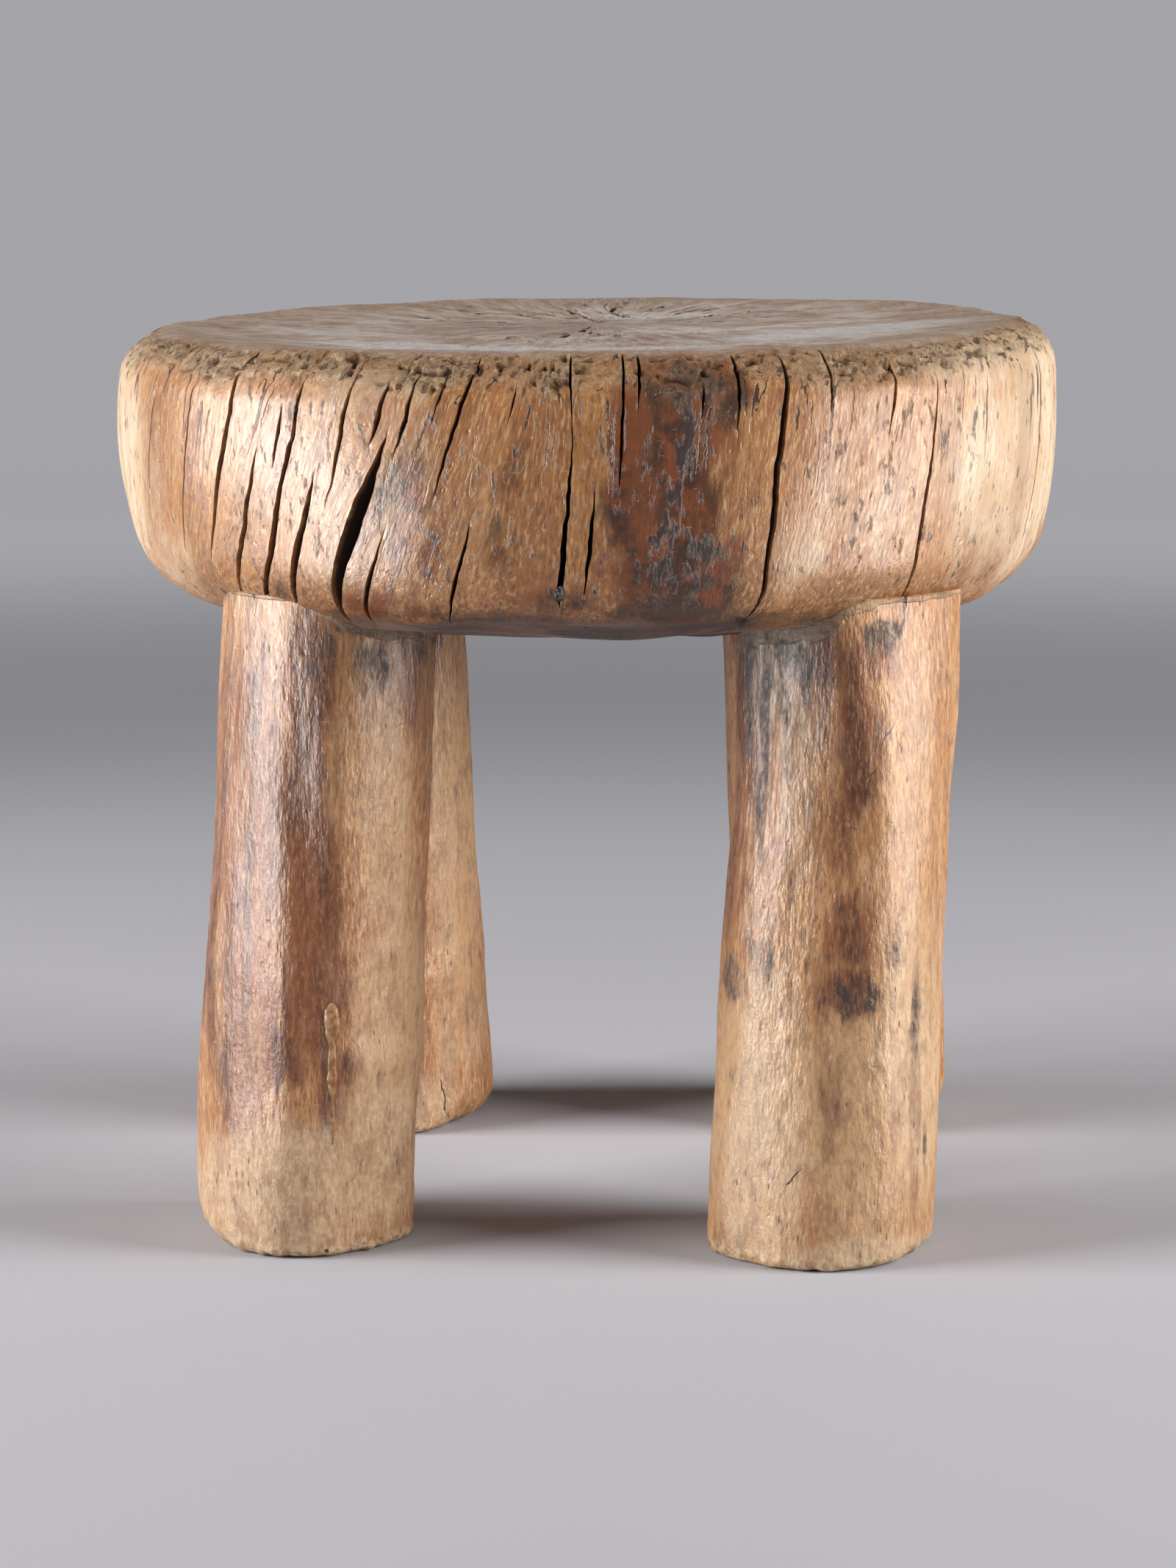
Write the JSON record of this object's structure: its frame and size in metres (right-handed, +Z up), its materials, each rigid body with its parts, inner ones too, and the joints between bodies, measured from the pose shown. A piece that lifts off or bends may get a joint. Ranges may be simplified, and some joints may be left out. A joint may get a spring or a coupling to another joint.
{
  "type": "senufo stool",
  "caption": "Low round stool hewn from one log, with a thick dished seat cracked by drying and stout legs that splay to worn feet.",
  "frame": {"origin": "on the floor under the middle of the seat", "axes": "+Z up; +X to the right and +Y away for someone who faces the front, which is the side with the largest cracks; the dried drip is on the leg at -X, -Y"},
  "size_m": [0.338, 0.334, 0.316],
  "materials": {
    "seat_wood": "satin",
    "leg_wood": "satin",
    "pitch": "matte",
    "dried_drip": "satin"
  },
  "bodies": {
    "root": {"seat": "seat_wood", "pitch_plug": "pitch", "leg_front_left": "leg_wood", "leg_front_right": "leg_wood", "leg_rear_left": "leg_wood", "leg_rear_right": "leg_wood", "dried_drip": "dried_drip"}
  },
  "joints": []
}
